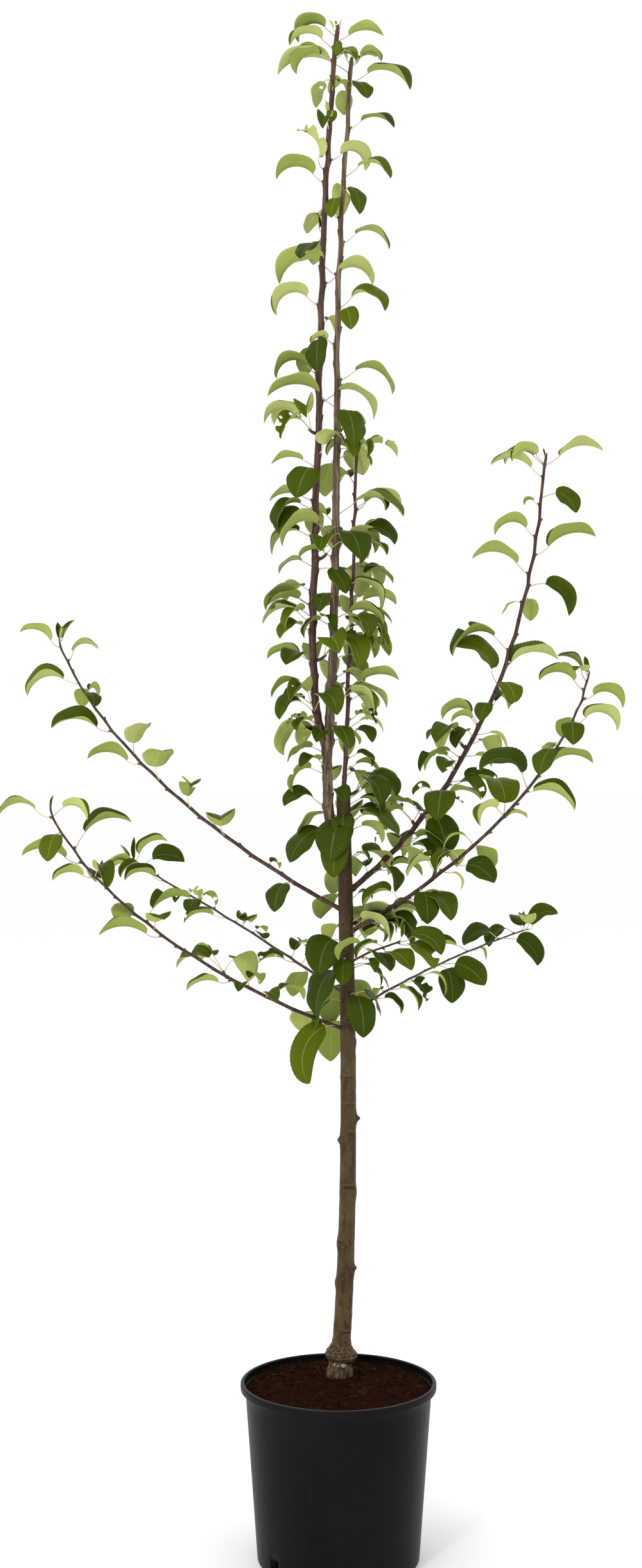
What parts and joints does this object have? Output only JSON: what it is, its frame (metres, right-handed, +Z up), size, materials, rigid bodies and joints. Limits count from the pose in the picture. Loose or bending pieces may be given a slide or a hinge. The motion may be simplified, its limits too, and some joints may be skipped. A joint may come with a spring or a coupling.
{
  "type": "potted pear tree",
  "caption": "Young pear tree with twin upright leaders, spreading side boughs and drooping folded leaves, growing in compost in a round black nursery pot.",
  "frame": {"origin": "centre of the pot's flat underside, on the surface it stands on", "axes": "+Z up the tree, -Y towards the viewer of the reference picture, +X to that viewer's right"},
  "size_m": [0.8008, 0.5808, 2.0739],
  "materials": {
    "pot_plastic": "satin black nursery plastic, a little worn at the lip",
    "compost": "damp dark compost with pale fibres",
    "trunk_bark": "olive brown bark with rows of pale lenticels, knobbly at the graft",
    "shoot_bark": "smooth red-brown young bark with buds and leaf scars",
    "foliage": "glossy dark green upper sides and pale matt undersides"
  },
  "bodies": {
    "root": {"bough_left_high": "shoot_bark", "bough_left_low": "shoot_bark", "bough_left_middle": "shoot_bark", "bough_right_high": "shoot_bark", "bough_right_low": "shoot_bark", "bough_right_middle": "shoot_bark", "bough_right_short": "shoot_bark", "compost": "compost", "leader_back": "shoot_bark", "leader_front": "shoot_bark", "leader_thin": "shoot_bark", "leaves_leader_back_1": "foliage", "leaves_leader_back_2": "foliage", "leaves_leader_back_3": "foliage", "leaves_leader_back_4": "foliage", "leaves_leader_back_5": "foliage", "leaves_leader_back_6": "foliage", "leaves_leader_back_7": "foliage", "leaves_leader_front_1": "foliage", "leaves_leader_front_2": "foliage", "leaves_leader_front_3": "foliage", "leaves_leader_front_4": "foliage", "leaves_leader_front_5": "foliage", "leaves_leader_thin_1": "foliage", "leaves_leader_thin_2": "foliage", "leaves_leader_thin_3": "foliage", "leaves_leader_thin_4": "foliage", "leaves_left_high_1": "foliage", "leaves_left_high_2": "foliage", "leaves_left_high_3": "foliage", "leaves_left_high_4": "foliage", "leaves_left_low_1": "foliage", "leaves_left_low_2": "foliage", "leaves_left_low_3": "foliage", "leaves_left_low_4": "foliage", "leaves_left_middle_1": "foliage", "leaves_left_middle_2": "foliage", "leaves_left_middle_3": "foliage", "leaves_left_middle_4": "foliage", "leaves_right_high_1": "foliage", "leaves_right_high_2": "foliage", "leaves_right_high_3": "foliage", "leaves_right_high_4": "foliage", "leaves_right_high_5": "foliage", "leaves_right_low_1": "foliage", "leaves_right_low_2": "foliage", "leaves_right_low_3": "foliage", "leaves_right_middle_1": "foliage", "leaves_right_middle_2": "foliage", "leaves_right_middle_3": "foliage", "leaves_right_middle_4": "foliage", "leaves_right_short_1": "foliage", "leaves_trunk_1": "foliage", "leaves_trunk_2": "foliage", "leaves_trunk_3": "foliage", "leaves_trunk_4": "foliage", "leaves_trunk_5": "foliage", "pot": "pot_plastic", "trunk": "trunk_bark"}
  },
  "joints": []
}
